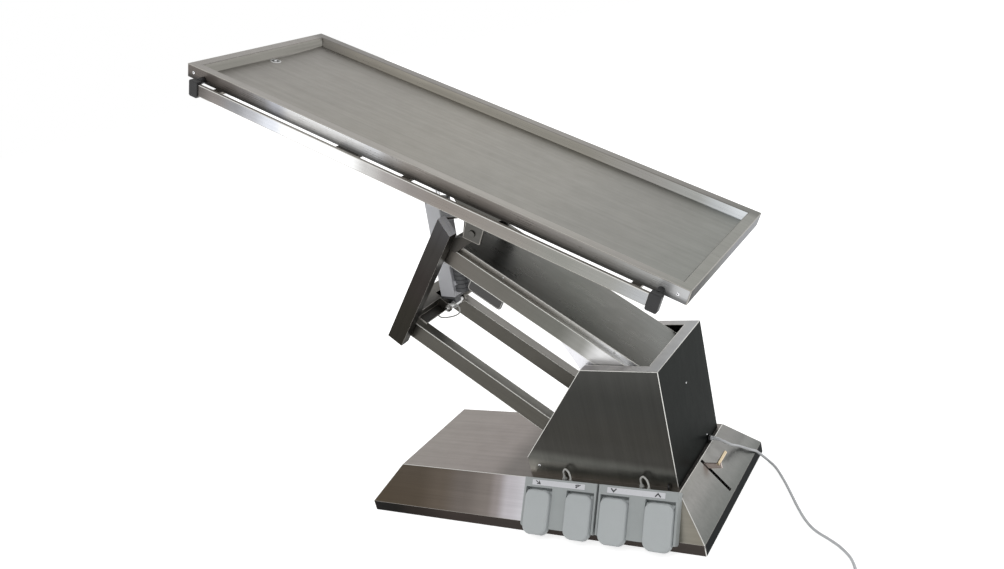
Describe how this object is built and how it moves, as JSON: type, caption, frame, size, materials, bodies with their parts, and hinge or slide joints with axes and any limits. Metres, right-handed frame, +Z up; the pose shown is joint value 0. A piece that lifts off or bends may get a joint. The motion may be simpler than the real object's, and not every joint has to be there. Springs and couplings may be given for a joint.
{
  "type": "veterinary surgery table",
  "caption": "Stainless steel veterinary surgery table: a shallow tray top that tilts, on a parallelogram lift with electric actuators, a sloped base, foot pedals and castors.",
  "frame": {"origin": "on the floor at the centre of the base's footprint", "axes": "+X to the hood's end of the base, -Y to the pedals, +Z up"},
  "size_m": [1.6558, 0.6494, 1.329],
  "materials": {
    "brushed_stainless": "brushed",
    "frame_steel": "satin",
    "bright_steel": "polished",
    "bronze": "machined",
    "lever_steel": "satin",
    "wheel_nylon": "matte",
    "black_plastic": "matte",
    "grey_plastic": "matte",
    "label_film": "satin",
    "dark_plate": "satin",
    "actuator_grey": "satin",
    "cable_grey": "matte"
  },
  "bodies": {
    "base": {"base_cover": "brushed_stainless", "base_frame": "frame_steel", "base_feet": "black_plastic", "mast_plates": "brushed_stainless", "base_pivot_shafts": "bright_steel", "hood": "brushed_stainless", "hood_screws": "bright_steel", "lift_foot_bracket": "frame_steel", "lift_foot_pin": "bright_steel", "left_pedal_housing": "grey_plastic", "right_pedal_housing": "grey_plastic", "pedal_labels": "label_film", "pedal_pins": "bright_steel", "pedal_glands": "cable_grey", "pedal_leads": "cable_grey", "lead_gland": "black_plastic", "power_lead": "cable_grey", "power_lead_coil": "cable_grey", "power_plug": "cable_grey"},
    "left_wheels": {"left_wheelset": "wheel_nylon"},
    "castor_lever": {"castor_lever": "lever_steel"},
    "right_wheels": {"right_wheelset": "wheel_nylon"},
    "tilt_treadle_left": {"tilt_treadle_left": "grey_plastic"},
    "tilt_treadle_right": {"tilt_treadle_right": "grey_plastic"},
    "lift_treadle_left": {"lift_treadle_left": "grey_plastic"},
    "lift_treadle_right": {"lift_treadle_right": "grey_plastic"},
    "lower_arms": {"lower_arm_front": "brushed_stainless", "lower_arm_rear": "brushed_stainless", "lower_arm_bushes": "bronze"},
    "upper_arms": {"upper_arm_front": "brushed_stainless", "upper_arm_rear": "brushed_stainless", "upper_arm_bushes": "bronze", "arm_cover": "brushed_stainless", "cover_screws": "bright_steel", "lift_gussets": "brushed_stainless", "lift_gusset_pin": "bright_steel", "name_plate": "dark_plate"},
    "head": {"head_tube_front": "brushed_stainless", "head_tube_rear": "brushed_stainless", "head_cross_tube": "brushed_stainless", "head_pivot_pins": "bright_steel", "head_cheeks": "brushed_stainless", "tilt_shaft": "bright_steel", "tilt_foot_bracket": "frame_steel", "tilt_foot_pin": "bright_steel", "actuator_lead": "cable_grey"},
    "lift_tube": {"lift_actuator_tube": "actuator_grey"},
    "lift_rod": {"lift_actuator_rod": "bright_steel"},
    "tilt_tube": {"tilt_actuator_tube": "actuator_grey"},
    "tilt_rod": {"tilt_actuator_rod": "bright_steel"},
    "table": {"tabletop": "brushed_stainless", "front_rail": "brushed_stainless", "rear_rail": "brushed_stainless", "rail_brackets": "brushed_stainless", "rail_end_caps": "black_plastic", "table_screws": "bright_steel", "table_frame": "brushed_stainless", "tilt_ears": "brushed_stainless", "tilt_head_pin": "bright_steel", "drain_fitting": "bright_steel"}
  },
  "joints": [
    {"name": "lift", "type": "hinge", "parent": "base", "child": "upper_arms", "pos_m": [0.35701, 0, 0.37652], "axis": [0, 1, 0], "range_deg": [-22, 12.5]},
    {"name": "lower_arm_pivot", "type": "hinge", "parent": "base", "child": "lower_arms", "pos_m": [0.18, 0, 0.17], "axis": [0, 1, 0], "range_deg": [-22, 12.5]},
    {"name": "head_pivot", "type": "hinge", "parent": "upper_arms", "child": "head", "pos_m": [-0.119, 0, 0.74178], "axis": [0, 1, 0], "range_deg": [-12.5, 22]},
    {"name": "tilt", "type": "hinge", "parent": "head", "child": "table", "pos_m": [0.00118, 0, 0.78365], "axis": [0, 1, 0], "range_deg": [-28.3, 1.7]},
    {"name": "lift_tube_foot", "type": "hinge", "parent": "base", "child": "lift_tube", "pos_m": [0.3, 0, 0.15], "axis": [0, 1, 0], "range_deg": [-4.9, 2.8]},
    {"name": "lift_rod_head", "type": "hinge", "parent": "upper_arms", "child": "lift_rod", "pos_m": [0.22272, 0, 0.4052], "axis": [0, 1, 0], "range_deg": [-9.8, 17.2]},
    {"name": "tilt_tube_foot", "type": "hinge", "parent": "head", "child": "tilt_tube", "pos_m": [-0.20794, 0, 0.55196], "axis": [0, 1, 0], "range_deg": [-11.4, 0.7]},
    {"name": "tilt_rod_head", "type": "hinge", "parent": "table", "child": "tilt_rod", "pos_m": [-0.16551, 0, 0.98243], "axis": [0, 1, 0], "range_deg": [-1.1, 17]},
    {"name": "castor_lever_pivot", "type": "hinge", "parent": "base", "child": "castor_lever", "pos_m": [0.35, 0, 0.094], "axis": [0, 1, 0], "range_deg": [0, 18.9]},
    {"name": "left_wheel_spin", "type": "hinge", "parent": "base", "child": "left_wheels", "pos_m": [-0.4, 0, 0.022], "axis": [0, 1, 0], "continuous": true},
    {"name": "right_wheel_spin", "type": "hinge", "parent": "castor_lever", "child": "right_wheels", "pos_m": [0.4, 0, 0.033], "axis": [0, 1, 0], "continuous": true},
    {"name": "tilt_treadle_left_press", "type": "hinge", "parent": "base", "child": "tilt_treadle_left", "pos_m": [0.061, -0.19704, 0.0989], "axis": [1, 0, 0], "range_deg": [0, 4.5], "stiffness_Nm_per_rad": 20},
    {"name": "tilt_treadle_right_press", "type": "hinge", "parent": "base", "child": "tilt_treadle_right", "pos_m": [0.179, -0.19704, 0.0989], "axis": [1, 0, 0], "range_deg": [0, 4.5], "stiffness_Nm_per_rad": 20},
    {"name": "lift_treadle_left_press", "type": "hinge", "parent": "base", "child": "lift_treadle_left", "pos_m": [0.275, -0.19704, 0.0989], "axis": [1, 0, 0], "range_deg": [0, 4.5], "stiffness_Nm_per_rad": 20},
    {"name": "lift_treadle_right_press", "type": "hinge", "parent": "base", "child": "lift_treadle_right", "pos_m": [0.393, -0.19704, 0.0989], "axis": [1, 0, 0], "range_deg": [0, 4.5], "stiffness_Nm_per_rad": 20}
  ],
  "couplings": [
    {"joint": "lower_arm_pivot", "follows": "lift", "ratio": 1},
    {"joint": "head_pivot", "follows": "lift", "ratio": -1},
    {"joint": "lift_tube_foot", "follows": "lift", "ratio": 0.22},
    {"joint": "lift_rod_head", "follows": "lift", "ratio": -0.78},
    {"joint": "tilt_tube_foot", "follows": "tilt", "ratio": 0.4},
    {"joint": "tilt_rod_head", "follows": "tilt", "ratio": -0.6}
  ]
}
